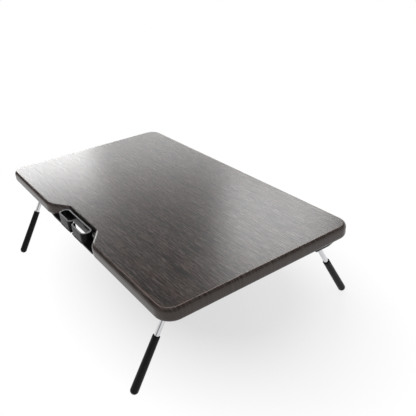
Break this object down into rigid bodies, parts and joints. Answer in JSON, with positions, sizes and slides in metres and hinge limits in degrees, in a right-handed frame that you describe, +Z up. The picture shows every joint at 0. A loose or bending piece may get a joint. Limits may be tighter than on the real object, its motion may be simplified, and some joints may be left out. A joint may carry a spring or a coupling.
{
  "type": "monitor riser",
  "caption": "Low monitor riser: a rounded rectangular board on folding bent-wire leg frames with rubber sleeves, and a slotted cable clip set in a notch in its rear edge.",
  "frame": {"origin": "on the desk under the middle of the board, with the legs unfolded", "axes": "+X along the board's long side, +Y towards the rear edge with the cable clip, +Z up"},
  "size_m": [0.42, 0.2886, 0.1129],
  "materials": {
    "board": "dark espresso wood-grain laminate, satin",
    "clip": "black moulded plastic, semi-gloss",
    "bracket": "black moulded plastic, fine matt texture",
    "rod": "bright chromed steel rod",
    "sleeve": "black satin rubber",
    "screw": "zinc-plated steel"
  },
  "bodies": {
    "board": {"top_board": "board", "cable_clip": "clip", "cable_clip_screw_1": "screw", "cable_clip_screw_2": "screw", "cable_clip_screw_3": "screw", "cable_clip_screw_4": "screw", "rear_right_bracket": "bracket", "rear_left_bracket": "bracket", "front_right_bracket": "bracket", "front_left_bracket": "bracket", "rear_right_bracket_screw_1": "screw", "rear_right_bracket_screw_2": "screw", "rear_left_bracket_screw_1": "screw", "rear_left_bracket_screw_2": "screw", "front_right_bracket_screw_1": "screw", "front_right_bracket_screw_2": "screw", "front_left_bracket_screw_1": "screw", "front_left_bracket_screw_2": "screw"},
    "rear_legs": {"rear_leg_frame": "rod", "rear_right_sleeve": "sleeve", "rear_left_sleeve": "sleeve"},
    "front_legs": {"front_leg_frame": "rod", "front_right_sleeve": "sleeve", "front_left_sleeve": "sleeve"}
  },
  "joints": [
    {"name": "rear_leg_fold", "type": "hinge", "parent": "board", "child": "rear_legs", "pos_m": [0, 0.0871, 0.09194], "axis": [-1, 0, 0], "range_deg": [0, 121]},
    {"name": "front_leg_fold", "type": "hinge", "parent": "board", "child": "front_legs", "pos_m": [0, -0.0871, 0.09194], "axis": [1, 0, 0], "range_deg": [0, 121]}
  ]
}
